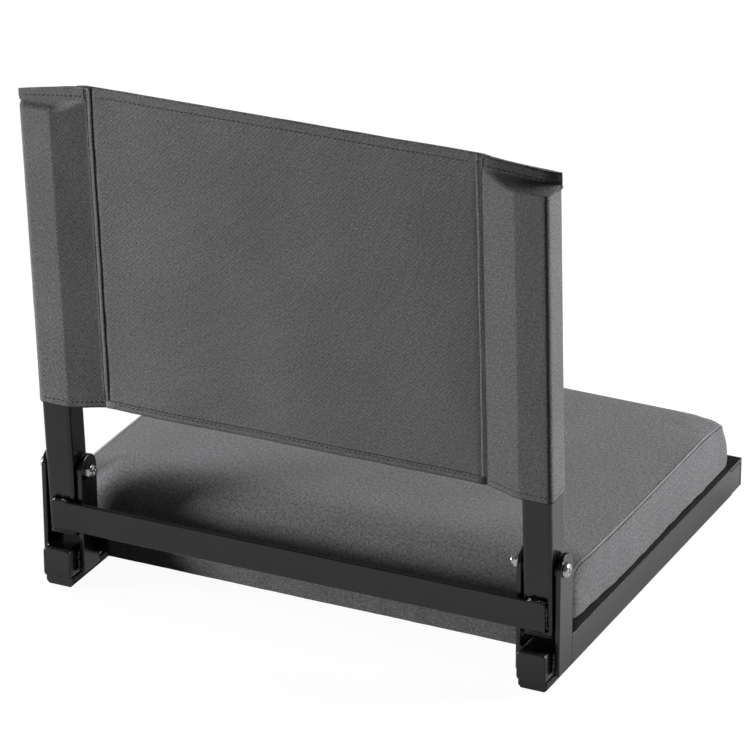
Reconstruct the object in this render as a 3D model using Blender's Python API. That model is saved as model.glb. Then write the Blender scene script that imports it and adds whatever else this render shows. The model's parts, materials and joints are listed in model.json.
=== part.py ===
"""Folding stadium chair: a padded seat on a welded steel base, and a sling back that folds down onto it."""
import math

import bmesh
import bpy
from mathutils import Vector

# Driving dimensions in metres and degrees. The chair faces -Y and stands on Z = 0.

# Clearance
GAP = 0.0003                  # between pieces that touch

# Steel stock
TUBE = 0.025                  # square tube of the uprights and runners, outside
TUBE_WALL = 0.0015
TUBE_ROUND = 0.003            # outer corner radius of the tube
PLATE = 0.004                 # flat bar of the hinge ears and the crossbar
PLATE_EDGE = 0.0006           # softened edges of flat bar and angle
ANGLE_LEG = 0.026             # equal-leg angle of the seat frame
ANGLE_WALL = 0.003

# Base
FRAME_WIDTH = 0.4614          # over the outer faces of the side rails
FRAME_REACH = 0.377           # hinge axis forward to the face of the front rail
REAR_RAIL_AHEAD = 0.030       # hinge axis forward to the face of the rear rail
RUNNER_BEHIND = 0.0225        # hinge axis back to the face of the runner's cap
FOOT_THICK = 0.0085           # anti-slip strip under each runner
FOOT_BEVEL = 0.0025
FOOT_SETBACK = 0.0045         # strip ends this far inside the cap's face and the front rail's face

# Hinge
LEAN = 3.3                    # the back leans this far behind upright at rest
PIVOT_RISE = 0.0635           # top of the rails up to the hinge axis
EAR_WIDTH = 0.025
EAR_GAP = 0.0022              # between an ear and the tube beside it
BOLT_RADIUS = 0.003
BOLT_HEAD_RADIUS = 0.0063
BOLT_HEAD_HEIGHT = 0.004
BOLT_HEAD_DOME = ((1.0, 0.35), (0.92, 0.65), (0.70, 0.88), (0.35, 1.0))  # shares of height and radius
BOLT_CHAMFER = 0.0005
BOLT_TAIL = 0.0015            # thread that shows past the nut
NUT_FLATS = 0.010
NUT_HEIGHT = 0.0045
NUT_COLLAR = 0.0018           # round locking collar on the nut
NUT_COLLAR_RADIUS = 0.0046
WASHER_RADIUS = 0.008

# Back frame, measured along the upright from the hinge axis
UPRIGHT_ABOVE = 0.319
UPRIGHT_BELOW = 0.055
CROSSBAR_BELOW = 0.0244       # down to the crossbar's top edge
CROSSBAR_HEIGHT = 0.0263
CROSSBAR_INSET = 0.0046       # crossbar ends this far inside the uprights' outer faces

# Plastic ends
CAP_FLANGE = 0.004            # runner cap outside the tube
CAP_SPIGOT = 0.014            # runner cap inside the tube
PLUG_FLANGE = 0.002           # upright plug outside the tube
PLUG_SPIGOT = 0.011
PLUG_EDGE = 0.0008            # softened edges of caps and plugs

# Welds
BEAD_RADIUS = 0.0018          # bead along the crossbar's top edge
BEAD_LENGTH = 0.0145
BEAD_TIP = 0.4                # share of the radius left at a bead's ends
EAR_BEAD_MARGIN = 0.004       # ear beads stop this far inside the runner's height and the ear's width

# Seat
SEAT_SIDE_INSET = 0.007       # rail's outer face in to the cushion's side
SEAT_FRONT_INSET = 0.012      # front rail's face back to the cushion's front
SEAT_EAR_GAP = 0.0145         # ears forward to the cushion's rear
SEAT_DRAW = 0.004             # the cushion's edges draw in this much towards its corners
SEAT_BULGE = 0.0025           # side panels stand out this much in their middle
SEAT_SIDE_FORM = ((0.45, 0.9), (0.8, 0.5))  # shares of a side panel's size and of its bulge
CUSHION_HEIGHT = 0.0465       # rail top up to the side seam
CUSHION_CROWN = 0.007         # rise of the top above the side seam
CUSHION_FRONT_ROUND = 0.028
CUSHION_REAR_ROUND = 0.030
CUSHION_FOOT_ROUND = 0.0025   # lower edge of the cover
COVER = 0.0012                # cover fabric
COVER_RETURN = 0.025          # cover folded in under the board
FOAM_EASE = 0.0012            # foam and board to the inside of the cover
BOARD = 0.009
BOARD_CORNER = 0.012
SCREW_RADIUS = 0.002
SCREW_TIP = 0.0005
SCREW_HEAD_RADIUS = 0.004
SCREW_HEAD_FACE = 0.0028      # radius of the flat on the head
SCREW_HEAD = 0.0022
SCREW_BITE = 0.006            # depth of the screw in the board
SCREW_EDGE = 0.0055           # screw axis from the tip of the angle's leg
SCREW_SETIN = 0.0907          # side rail's outer face in to the screw axis

# Sling, measured along the upright from the hinge axis
SLING_BOTTOM = 0.066
SLING_OVER = 0.0265           # uprights' top ends up to the sling's top edge
SLING_HEM = 0.0095            # flat sewn band along the top
HEM_THICK = 0.003
HEM_PINCH = ((0.35, 0.6), (0.7, 0.22))  # shares of the way up to the hem and of the sleeve's depth
SLEEVE_DROP = 0.003           # sleeve mouths hang this much lower than the panel
SLEEVE_DROP_SPREAD = 6        # the drop is reached over one part in this many of the sleeve's width
SLEEVE_DROOP = 0.0085         # outer top corners sit this much lower than the panel
SLEEVE_FLARE = 0.003          # flattened top corners stand out this much
SLEEVE_EASE = 0.0005          # cloth to tube
CLOTH = 0.0012
PANEL_THICK = 0.0016
PANEL_BACK = 0.006            # panel sits this far behind the uprights' middle
SEAM_SETIN = 0.0327           # tube's inner face in to the sleeve seam
SEAM_FOLD = 0.0035            # folded edge beside the seam

# Mesh steps
ROUND_STEPS = 24              # sides of bolts, holes and washers
SCREW_STEPS = 12
BEAD_STEPS = 8
EAR_STEPS = 12                # chords over an ear's round top
SHARP_ANGLE = 35              # edges above this are shaded sharp
SOFT_ANGLE = 40               # edges above this are softened
CORNER_STEPS = 3              # chords in a small corner
LARGE_ROUND = 0.010           # corners above this radius take more chords
LARGE_CORNER_STEPS = 5
CUSHION_RINGS = 12            # spans across the cushion
CUSHION_SPAN = 0.042          # longest chord along the cushion's sides

# Places that follow from the sizes above
HALF_WIDTH = FRAME_WIDTH / 2
UPRIGHT_X = HALF_WIDTH - PLATE - EAR_GAP - TUBE / 2
EAR_OUTER_X = HALF_WIDTH - PLATE / 2
EAR_INNER_X = UPRIGHT_X - TUBE / 2 - EAR_GAP - PLATE / 2
RUNNER_BASE = FOOT_THICK + GAP
RUNNER_TOP = RUNNER_BASE + TUBE
RAIL_TOP = RUNNER_TOP + GAP + ANGLE_WALL
RAIL_BASE = RAIL_TOP - ANGLE_LEG
PIVOT_Z = RAIL_TOP + PIVOT_RISE
LEAN_SIN = math.sin(math.radians(LEAN))
LEAN_COS = math.cos(math.radians(LEAN))
CROSSBAR_FACE = TUBE / 2 + GAP
CROSSBAR_LOW = CROSSBAR_BELOW + CROSSBAR_HEIGHT
SLEEVE_DEPTH = TUBE / 2 + SLEEVE_EASE + CLOTH
SEAM_X = UPRIGHT_X - TUBE / 2 - SEAM_SETIN
SLING_TOP = UPRIGHT_ABOVE + SLING_OVER
PLUG_TOP = UPRIGHT_ABOVE + GAP + PLUG_FLANGE
SLEEVE_CLOSE = PLUG_TOP + SLEEVE_EASE + CLOTH

# The crossbar's lower edge comes to rest on the rear edges of the inner ears.
EAR_BEHIND = CROSSBAR_FACE * LEAN_COS - CROSSBAR_LOW * LEAN_SIN - GAP
EAR_AHEAD = EAR_WIDTH - EAR_BEHIND

# The chair's middle, front to back, lies on Y = 0. The sleeves' tops reach furthest back.
REAR_REACH = SLEEVE_CLOSE * LEAN_SIN + SLEEVE_DEPTH * LEAN_COS
PIVOT_Y = (FRAME_REACH - REAR_REACH) / 2

# Cushion
SEAT_HALF = HALF_WIDTH - SEAT_SIDE_INSET
SEAT_REAR = EAR_AHEAD + SEAT_EAR_GAP
SEAT_FRONT = FRAME_REACH - SEAT_FRONT_INSET
SEAT_MIDDLE = (SEAT_REAR + SEAT_FRONT) / 2
SEAT_LONG = (SEAT_FRONT - SEAT_REAR) / 2
BOARD_BASE = RAIL_TOP + GAP + COVER + GAP
BOARD_TOP = BOARD_BASE + BOARD

SIDES = (("left", 1), ("right", -1))


def ahead(distance):
    """World Y of a place this far in front of the hinge axis."""
    return PIVOT_Y - distance


# Outlines


def rounded(corners):
    """Closed outline through (x, y, radius) corners, each rounded off by an arc."""
    outline = []
    for index, (x, y, radius) in enumerate(corners):
        steps = LARGE_CORNER_STEPS if radius > LARGE_ROUND else CORNER_STEPS
        corner = Vector((x, y))
        if radius <= 0:
            outline.append(corner)
            continue
        into = (Vector(corners[index - 1][:2]) - corner).normalized()
        out = (Vector(corners[(index + 1) % len(corners)][:2]) - corner).normalized()
        half = into.angle(out) / 2
        centre = corner + (into + out).normalized() * radius / math.sin(half)
        first = corner + into * radius / math.tan(half) - centre
        last = corner + out * radius / math.tan(half) - centre
        start = math.atan2(first.y, first.x)
        turn = (math.atan2(last.y, last.x) - start + math.pi) % (2 * math.pi) - math.pi
        for step in range(steps + 1):
            angle = start + turn * step / steps
            outline.append(centre + radius * Vector((math.cos(angle), math.sin(angle))))
    return outline


def divided(outline, span):
    """The outline with its longer sides split into equal chords no longer than span."""
    points = []
    for start, end in zip(outline, outline[1:] + outline[:1]):
        count = math.ceil((end - start).length / span)
        points += [start.lerp(end, step / count) for step in range(count)]
    return points


def rectangle(width, height, radius=0.0):
    x = width / 2
    y = height / 2
    return rounded([(-x, -y, radius), (x, -y, radius), (x, y, radius), (-x, y, radius)])


def square(size, radius=0.0):
    return rectangle(size, size, radius)


def circle(radius, count=ROUND_STEPS):
    angles = [2 * math.pi * step / count for step in range(count)]
    return [Vector((radius * math.cos(angle), radius * math.sin(angle))) for angle in angles]


def hexagon(flats, count=ROUND_STEPS):
    """Hexagon as the same number of points as a circle, so that rings of both can be joined."""
    outline = []
    for step in range(count):
        angle = 2 * math.pi * step / count
        off_flat = (angle + math.pi / 6) % (math.pi / 3) - math.pi / 6
        reach = flats / 2 / math.cos(off_flat)
        outline.append(Vector((reach * math.cos(angle), reach * math.sin(angle))))
    return outline


# Building pieces


def along_x(outline, x):
    return [Vector((x, point.x, point.y)) for point in outline]


def along_y(outline, y):
    return [Vector((point.x, y, point.y)) for point in outline]


def along_z(outline, z):
    return [Vector((point.x, point.y, z)) for point in outline]


def skin(rings, closed=False):
    """Mesh over rings of equal count. Closed joins the last ring to the first, else both ends are capped."""
    mesh = bmesh.new()
    rows = [[mesh.verts.new(point) for point in ring] for ring in rings]
    pairs = list(zip(rows, rows[1:]))
    if closed:
        pairs.append((rows[-1], rows[0]))
    else:
        mesh.faces.new(rows[0])
        mesh.faces.new(rows[-1])
    count = len(rings[0])
    for lower, upper in pairs:
        for index in range(count):
            after = (index + 1) % count
            mesh.faces.new((lower[index], lower[after], upper[after], upper[index]))
    bmesh.ops.recalc_face_normals(mesh, faces=mesh.faces)
    bmesh.ops.triangulate(mesh, faces=mesh.faces)
    return mesh


def add(name, mesh, material, parent, location=(0, 0, 0)):
    """Object from a bmesh, with smooth shading broken at sharp edges."""
    data = bpy.data.meshes.new(name)
    mesh.to_mesh(data)
    mesh.free()
    data.shade_smooth()
    data.set_sharp_from_angle(angle=math.radians(SHARP_ANGLE))
    if material:
        data.materials.append(material)
    piece = bpy.data.objects.new(name, data)
    bpy.context.scene.collection.objects.link(piece)
    piece.parent = parent
    piece.location = location
    return piece


def add_tool(name, mesh, parent, location=(0, 0, 0)):
    """Hidden shape that a Boolean cuts away or joins on."""
    tool = add(name, mesh, None, parent, location)
    tool.hide_render = True
    tool.display_type = "WIRE"
    return tool


def combine(piece, tool, operation):
    step = piece.modifiers.new(f"{operation.lower()} {tool.name}", "BOOLEAN")
    step.operation = operation
    step.solver = "EXACT"
    step.object = tool


def soften(piece, width, segments=1):
    step = piece.modifiers.new("soft edges", "BEVEL")
    step.width = width
    step.segments = segments
    step.limit_method = "ANGLE"
    step.angle_limit = math.radians(SOFT_ANGLE)


def add_empty(name, location=(0, 0, 0), rotation=(0, 0, 0)):
    empty = bpy.data.objects.new(name, None)
    bpy.context.scene.collection.objects.link(empty)
    empty.location = location
    empty.rotation_euler = rotation
    return empty


def finish(name, colour, roughness, metallic=0.0):
    material = bpy.data.materials.new(name)
    material.use_nodes = True
    shader = material.node_tree.nodes["Principled BSDF"]
    shader.inputs["Base Color"].default_value = (*colour, 1.0)
    shader.inputs["Roughness"].default_value = roughness
    shader.inputs["Metallic"].default_value = metallic
    return material


def bead_mesh(length, radius, to_axis):
    """Round weld bead with tapered ends, centred on its length."""
    half = length / 2
    ends = [(-half, BEAD_TIP), (-half + radius, 1.0), (half - radius, 1.0), (half, BEAD_TIP)]
    return skin([to_axis(circle(radius * share, BEAD_STEPS), place) for place, share in ends])


# Seat frame


def angle_outline():
    """Angle with its outer corner at (0, 0), one leg down and one leg to the left."""
    return [
        Vector((0, 0)),
        Vector((-ANGLE_LEG, 0)),
        Vector((-ANGLE_LEG, -ANGLE_WALL)),
        Vector((-ANGLE_WALL, -ANGLE_WALL)),
        Vector((-ANGLE_WALL, -ANGLE_LEG)),
        Vector((0, -ANGLE_LEG)),
    ]


def build_side_rails(base, steel):
    """Side rails run from the ears to the front rail and are notched to pass under its top leg."""
    rear = EAR_AHEAD + GAP
    front = FRAME_REACH - ANGLE_WALL - GAP
    notch = ANGLE_LEG - ANGLE_WALL
    middle = (rear + front) / 2
    half = (front - rear) / 2
    for side, hand in SIDES:
        outline = [Vector((hand * point.x, point.y)) for point in angle_outline()]
        rail = add(
            f"side_rail_{side}",
            skin([along_y(outline, -half), along_y(outline, half)]),
            steel,
            base,
            (hand * HALF_WIDTH, ahead(middle), RAIL_TOP),
        )
        soften(rail, PLATE_EDGE)
        block = square(2 * ANGLE_LEG + 2 * GAP)
        tool = add_tool(
            f"notch_{side}",
            skin([along_y(block, 0), along_y(block, -2 * notch)]),
            base,
            (hand * HALF_WIDTH, ahead(front - notch), RUNNER_TOP + ANGLE_LEG + GAP),
        )
        combine(rail, tool, "DIFFERENCE")


def build_cross_rails(base, steel):
    """Front rail over the full width, and rear rail between the runners, both with the top leg inwards."""
    front_outline = [Vector((-point.x, point.y)) for point in angle_outline()]
    front_half = HALF_WIDTH
    rear_half = UPRIGHT_X - TUBE / 2 - GAP
    front = add(
        "front_rail",
        skin([along_x(front_outline, -front_half), along_x(front_outline, front_half)]),
        steel,
        base,
        (0, ahead(FRAME_REACH), RAIL_TOP),
    )
    rear = add(
        "rear_rail",
        skin([along_x(angle_outline(), -rear_half), along_x(angle_outline(), rear_half)]),
        steel,
        base,
        (0, ahead(REAR_RAIL_AHEAD), RAIL_TOP),
    )
    soften(front, PLATE_EDGE)
    soften(rear, PLATE_EDGE)
    return front, rear


# Runners and feet


def tube_mesh(low, high, to_axis):
    outer = square(TUBE, TUBE_ROUND)
    inner = square(TUBE - 2 * TUBE_WALL, TUBE_ROUND - TUBE_WALL)
    rings = [to_axis(outer, low), to_axis(outer, high), to_axis(inner, high), to_axis(inner, low)]
    return skin(rings, closed=True)


def plug_mesh(flange, spigot, to_axis):
    """Tube end plug: its flange ends at 0 and its ribless spigot reaches into the tube."""
    outer = square(TUBE, TUBE_ROUND)
    face = square(TUBE - 2 * PLUG_EDGE, TUBE_ROUND - PLUG_EDGE)
    inner = square(TUBE - 2 * TUBE_WALL - 2 * GAP, TUBE_ROUND - TUBE_WALL - GAP)
    tip = square(TUBE - 2 * TUBE_WALL - 2 * GAP - 2 * PLUG_EDGE, TUBE_ROUND - TUBE_WALL - GAP)
    rings = [
        to_axis(face, 0),
        to_axis(outer, PLUG_EDGE),
        to_axis(outer, flange),
        to_axis(inner, flange),
        to_axis(inner, flange + GAP + spigot - PLUG_EDGE),
        to_axis(tip, flange + GAP + spigot),
    ]
    return skin(rings)


def build_runners(base, steel, plastic, rubber):
    """Square tubes under the side rails, with a cap behind and an anti-slip strip below."""
    rear = -RUNNER_BEHIND + CAP_FLANGE + GAP
    front = FRAME_REACH - ANGLE_WALL - GAP
    half = (front - rear) / 2
    foot_rear = -RUNNER_BEHIND + FOOT_SETBACK
    foot_front = FRAME_REACH - FOOT_SETBACK
    foot_half = (foot_front - foot_rear) / 2
    foot_outline = [
        Vector((-TUBE / 2, FOOT_THICK)),
        Vector((-TUBE / 2, FOOT_BEVEL)),
        Vector((-TUBE / 2 + FOOT_BEVEL, 0)),
        Vector((TUBE / 2 - FOOT_BEVEL, 0)),
        Vector((TUBE / 2, FOOT_BEVEL)),
        Vector((TUBE / 2, FOOT_THICK)),
    ]
    for side, hand in SIDES:
        height = RUNNER_BASE + TUBE / 2
        place = (hand * UPRIGHT_X, ahead((rear + front) / 2), height)
        add(f"runner_{side}", tube_mesh(-half, half, along_y), steel, base, place)
        cap = plug_mesh(CAP_FLANGE, CAP_SPIGOT, lambda outline, depth: along_y(outline, -depth))
        add(f"runner_cap_{side}", cap, plastic, base, (hand * UPRIGHT_X, ahead(-RUNNER_BEHIND), height))
        foot = skin([along_y(foot_outline, -foot_half), along_y(foot_outline, foot_half)])
        place = (hand * UPRIGHT_X, ahead((foot_rear + foot_front) / 2), 0)
        add(f"foot_strip_{side}", foot, rubber, base, place)


# Hinge


def ear_mesh():
    """Round-topped flat bar, drawn from the hinge axis."""
    foot = RAIL_BASE - PIVOT_Z
    radius = EAR_WIDTH / 2
    outline = [Vector((EAR_BEHIND, foot)), Vector((EAR_BEHIND, 0))]
    for step in range(1, EAR_STEPS):
        angle = math.pi * step / EAR_STEPS
        outline.append(Vector((EAR_BEHIND - radius + radius * math.cos(angle), radius * math.sin(angle))))
    outline += [Vector((-EAR_AHEAD, 0)), Vector((-EAR_AHEAD, foot))]
    return skin([along_x(outline, -PLATE / 2), along_x(outline, PLATE / 2)])


def build_ears(base, steel, side, hand, bore):
    """Two ears per side, each held off the runner by weld beads near its rear and front edges."""
    low = max(RAIL_BASE, RUNNER_BASE) + EAR_BEAD_MARGIN
    length = RUNNER_TOP - EAR_BEAD_MARGIN - low
    for name, x, facing in (("outer", EAR_OUTER_X, -hand), ("inner", EAR_INNER_X, hand)):
        ear = add(f"ear_{name}_{side}", ear_mesh(), steel, base, (hand * x, PIVOT_Y, PIVOT_Z))
        soften(ear, PLATE_EDGE)
        combine(ear, bore, "DIFFERENCE")
        bead_x = hand * x + facing * PLATE / 2
        for edge, y in (("rear", EAR_BEHIND - EAR_BEAD_MARGIN), ("front", EAR_BEAD_MARGIN - EAR_AHEAD)):
            bead = add_tool(
                f"bead_{name}_{edge}_{side}",
                bead_mesh(length, EAR_GAP - GAP, along_z),
                base,
                (bead_x, PIVOT_Y + y, low + length / 2),
            )
            combine(ear, bead, "UNION")


def bolt_mesh(hand):
    """Pan-headed bolt along X, drawn from the outer ear's face."""
    length = HALF_WIDTH - EAR_INNER_X + PLATE / 2 + 2 * GAP + NUT_HEIGHT + NUT_COLLAR + BOLT_TAIL
    profile = [(rise * BOLT_HEAD_HEIGHT, reach * BOLT_HEAD_RADIUS) for rise, reach in BOLT_HEAD_DOME]
    profile += [
        (GAP, BOLT_HEAD_RADIUS),
        (GAP, BOLT_RADIUS),
        (BOLT_CHAMFER - length, BOLT_RADIUS),
        (-length, BOLT_RADIUS - BOLT_CHAMFER),
    ]
    return skin([along_x(circle(radius), hand * place) for place, radius in profile])


def nut_mesh(hand):
    """Lock nut along X, drawn from the inner ear's face towards the chair's middle."""
    bore = circle(BOLT_RADIUS + GAP)
    collar = circle(NUT_COLLAR_RADIUS)
    rings = [
        along_x(hexagon(NUT_FLATS), -hand * GAP),
        along_x(hexagon(NUT_FLATS), -hand * (GAP + NUT_HEIGHT)),
        along_x(collar, -hand * (GAP + NUT_HEIGHT)),
        along_x(collar, -hand * (GAP + NUT_HEIGHT + NUT_COLLAR)),
        along_x(bore, -hand * (GAP + NUT_HEIGHT + NUT_COLLAR)),
        along_x(bore, -hand * GAP),
    ]
    return skin(rings, closed=True)


def washer_mesh():
    half = EAR_GAP / 2 - GAP
    outer = circle(WASHER_RADIUS)
    bore = circle(BOLT_RADIUS + GAP)
    rings = [along_x(outer, -half), along_x(outer, half), along_x(bore, half), along_x(bore, -half)]
    return skin(rings, closed=True)


def build_hinges(base, steel, bright, nylon):
    """Ears, bolt, nut and washers at each side. Returns the bores that the uprights are cut by too."""
    bores = {}
    for side, hand in SIDES:
        pivot = (hand * UPRIGHT_X, PIVOT_Y, PIVOT_Z)
        bore = skin([along_x(circle(BOLT_RADIUS + GAP), -TUBE), along_x(circle(BOLT_RADIUS + GAP), TUBE)])
        bores[side] = add_tool(f"bore_{side}", bore, base, pivot)
        build_ears(base, steel, side, hand, bores[side])
        add(f"hinge_bolt_{side}", bolt_mesh(hand), bright, base, (hand * HALF_WIDTH, PIVOT_Y, PIVOT_Z))
        inner_face = hand * (EAR_INNER_X - PLATE / 2)
        add(f"hinge_nut_{side}", nut_mesh(hand), bright, base, (inner_face, PIVOT_Y, PIVOT_Z))
        for name, sign in (("outer", 1), ("inner", -1)):
            x = hand * (UPRIGHT_X + sign * (TUBE + EAR_GAP) / 2)
            add(f"hinge_washer_{name}_{side}", washer_mesh(), nylon, base, (x, PIVOT_Y, PIVOT_Z))
    return bores


# Seat


def seat_plan(across, lengthwise, inset):
    """Place in the seat's barrel-edged plan for shares from -1 to 1 of its width and length: x and y."""
    x = across * (SEAT_HALF - inset - SEAT_DRAW * lengthwise**4)
    forward = SEAT_MIDDLE + lengthwise * (SEAT_LONG - inset - SEAT_DRAW * across**4)
    return x, ahead(forward)


def cushion_rings(inset, floor, foot):
    """Rings across the cushion's form, inset from the cover's outer face, on a floor with a rounded foot."""
    top = RAIL_TOP + CUSHION_HEIGHT - inset
    long = SEAT_LONG - inset
    corners = [
        (-long, floor, foot),
        (long, floor, foot),
        (long, top, CUSHION_FRONT_ROUND - inset),
        (-long, top, CUSHION_REAR_ROUND - inset),
    ]
    profile = divided(rounded(corners), CUSHION_SPAN)

    def ring(across, share, bulge):
        """Profile at this share of the width; a share of its size below 1 lies on a side panel."""
        points = []
        for flat in profile:
            place = Vector((0, (floor + top) / 2)).lerp(flat, share)
            lengthwise = place.x / long
            lift = CUSHION_CROWN * (1 - across**2) * (1 - lengthwise**4)
            height = place.y + lift * ((place.y - floor) / (top - floor)) ** 2
            x, y = seat_plan(across, lengthwise, inset)
            points.append(Vector((x + math.copysign(bulge, across), y, height)))
        return points

    rings = [ring(-1, size, bulge * SEAT_BULGE) for size, bulge in SEAT_SIDE_FORM]
    for step in range(CUSHION_RINGS + 1):
        rings.append(ring(math.sin(math.pi * (step / CUSHION_RINGS - 0.5)), 1, 0))
    rings += [ring(1, size, bulge * SEAT_BULGE) for size, bulge in reversed(SEAT_SIDE_FORM)]
    return rings


def screw_places():
    """Screw axes through the top legs of the front and rear rails."""
    front = ahead(FRAME_REACH - ANGLE_LEG + SCREW_EDGE)
    rear = ahead(REAR_RAIL_AHEAD + ANGLE_LEG - SCREW_EDGE)
    for row, y in (("front", front), ("rear", rear)):
        for side, hand in SIDES:
            yield f"{row}_{side}", hand * (HALF_WIDTH - SCREW_SETIN), y


def build_seat(base, rails, wood, foam, fabric, bright):
    """Board on the rails, foam on it, a cover wrapped round both, and the screws that hold them down."""
    cover = add("seat_cover", skin(cushion_rings(0, RAIL_TOP + GAP, CUSHION_FOOT_ROUND)), fabric, base)
    core = add_tool("cover_inside", skin(cushion_rings(COVER, RAIL_TOP + GAP + COVER, GAP)), base)
    combine(cover, core, "DIFFERENCE")
    taken = SEAT_DRAW + COVER_RETURN
    mouth = rectangle(2 * (SEAT_HALF - taken), 2 * (SEAT_LONG - taken))
    opening = skin([along_z(mouth, RAIL_TOP - COVER), along_z(mouth, BOARD_BASE)])
    combine(cover, add_tool("cover_mouth", opening, base, (0, ahead(SEAT_MIDDLE), 0)), "DIFFERENCE")

    inset = COVER + FOAM_EASE
    add("seat_foam", skin(cushion_rings(inset, BOARD_TOP + GAP, GAP)), foam, base)

    wide = SEAT_HALF - inset
    long = SEAT_LONG - inset
    plan = divided(rectangle(2 * wide, 2 * long, BOARD_CORNER), CUSHION_SPAN)
    outline = [Vector(seat_plan(point.x / wide, point.y / long, inset)) for point in plan]
    board = add("seat_board", skin([along_z(outline, BOARD_BASE), along_z(outline, BOARD_TOP)]), wood, base)

    head_low = RUNNER_TOP - SCREW_HEAD
    tip = BOARD_BASE + SCREW_BITE
    for name, x, y in screw_places():
        profile = [
            (head_low, SCREW_HEAD_FACE),
            (RUNNER_TOP - SCREW_HEAD / 2, SCREW_HEAD_RADIUS),
            (RUNNER_TOP, SCREW_HEAD_RADIUS),
            (RUNNER_TOP, SCREW_RADIUS),
            (tip - SCREW_RADIUS, SCREW_RADIUS),
            (tip, SCREW_TIP),
        ]
        screw = skin([along_z(circle(radius, SCREW_STEPS), z) for z, radius in profile])
        add(f"board_screw_{name}", screw, bright, base, (x, y, 0))
        hole = circle(SCREW_RADIUS + GAP, SCREW_STEPS)
        drill = skin([along_z(hole, head_low), along_z(hole, tip + GAP)])
        drill = add_tool(f"drill_{name}", drill, base, (x, y, 0))
        rail = rails[0] if name.startswith("front") else rails[1]
        for target in (rail, cover, board):
            combine(target, drill, "DIFFERENCE")


# Back


def build_back_frame(back, steel, plastic, bores):
    """Uprights with their plugs, and the crossbar welded behind them."""
    crossbar_half = UPRIGHT_X + TUBE / 2 - CROSSBAR_INSET
    top = -CROSSBAR_BELOW
    bar = rectangle(PLATE, CROSSBAR_HEIGHT)
    crossbar = add(
        "crossbar",
        skin([along_x(bar, -crossbar_half), along_x(bar, crossbar_half)]),
        steel,
        back,
        (0, CROSSBAR_FACE + PLATE / 2, top - CROSSBAR_HEIGHT / 2),
    )
    soften(crossbar, PLATE_EDGE)
    for side, hand in SIDES:
        upright = add(
            f"upright_{side}",
            tube_mesh(-UPRIGHT_BELOW, UPRIGHT_ABOVE, along_z),
            steel,
            back,
            (hand * UPRIGHT_X, 0, 0),
        )
        combine(upright, bores[side], "DIFFERENCE")
        plug = plug_mesh(PLUG_FLANGE, PLUG_SPIGOT, lambda outline, depth: along_z(outline, -depth))
        add(f"upright_top_plug_{side}", plug, plastic, back, (hand * UPRIGHT_X, 0, PLUG_TOP))
        plug = plug_mesh(PLUG_FLANGE, PLUG_SPIGOT, along_z)
        low = -UPRIGHT_BELOW - GAP - PLUG_FLANGE
        add(f"upright_bottom_plug_{side}", plug, plastic, back, (hand * UPRIGHT_X, 0, low))
        bead = add_tool(
            f"bead_crossbar_{side}",
            bead_mesh(BEAD_LENGTH, BEAD_RADIUS, along_x),
            back,
            (hand * UPRIGHT_X, CROSSBAR_FACE + GAP + BEAD_RADIUS, top),
        )
        combine(crossbar, bead, "UNION")


def strip_mesh(stations):
    """Closed body between a rear and a front sheet; a station is a row of (rear, front) point pairs."""
    mesh = bmesh.new()
    rows = [[[mesh.verts.new(point) for point in pair] for pair in station] for station in stations]
    for lower, upper in zip(rows, rows[1:]):
        for index in range(len(lower) - 1):
            for sheet in (0, 1):
                corners = [lower[index], lower[index + 1], upper[index + 1], upper[index]]
                mesh.faces.new([corner[sheet] for corner in corners])
        for end in (0, -1):
            mesh.faces.new((lower[end][0], lower[end][1], upper[end][1], upper[end][0]))
    for row in (rows[0], rows[-1]):
        for left, right in zip(row, row[1:]):
            mesh.faces.new((left[0], right[0], right[1], left[1]))
    bmesh.ops.recalc_face_normals(mesh, faces=mesh.faces)
    return mesh


def sling_columns():
    """Columns across half the sling at full depth: x, rear y and front y."""
    rear = PANEL_BACK + PANEL_THICK / 2
    front = PANEL_BACK - PANEL_THICK / 2
    inner = UPRIGHT_X - SLEEVE_DEPTH
    outer = UPRIGHT_X + SLEEVE_DEPTH
    corner = TUBE_ROUND + SLEEVE_EASE + CLOTH
    ease = corner * (1 - math.sqrt(0.5))
    return [
        (SEAM_X / 2, rear, front),
        (SEAM_X - CLOTH / 2, rear, front),
        (SEAM_X, rear + CLOTH, front),
        (SEAM_X + SEAM_FOLD, rear + CLOTH, front),
        (inner, SLEEVE_DEPTH - CLOTH / 2, CLOTH / 2 - SLEEVE_DEPTH),
        (inner + corner, SLEEVE_DEPTH, -SLEEVE_DEPTH),
        (outer - corner, SLEEVE_DEPTH, -SLEEVE_DEPTH),
        (outer - ease, SLEEVE_DEPTH - ease, ease - SLEEVE_DEPTH),
        (outer, SLEEVE_DEPTH - corner, corner - SLEEVE_DEPTH),
    ]


def sling_station(height, depth, droop, drop):
    """Rear and front points across the sling; depth runs from 1 over the tubes to 0 in the flat hem."""
    columns = sling_columns()
    outer = columns[-1][0]
    rear_hem = PANEL_BACK + HEM_THICK / 2
    front_hem = PANEL_BACK - HEM_THICK / 2
    half = []
    for x, rear, front in columns:
        share = max(0, (x - SEAM_X) / (outer - SEAM_X))
        wide = x + (1 - depth) * SLEEVE_FLARE * share
        low = height - droop * SLEEVE_DROOP * share - drop * SLEEVE_DROP * min(1, SLEEVE_DROP_SPREAD * share)
        rear_y = rear_hem + (rear - rear_hem) * depth
        front_y = front_hem + (front - front_hem) * depth
        half.append((Vector((wide, rear_y, low)), Vector((wide, front_y, low))))
    mirror = Vector((-1, 1, 1))
    return [(rear * mirror, front * mirror) for rear, front in reversed(half)] + half


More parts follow.
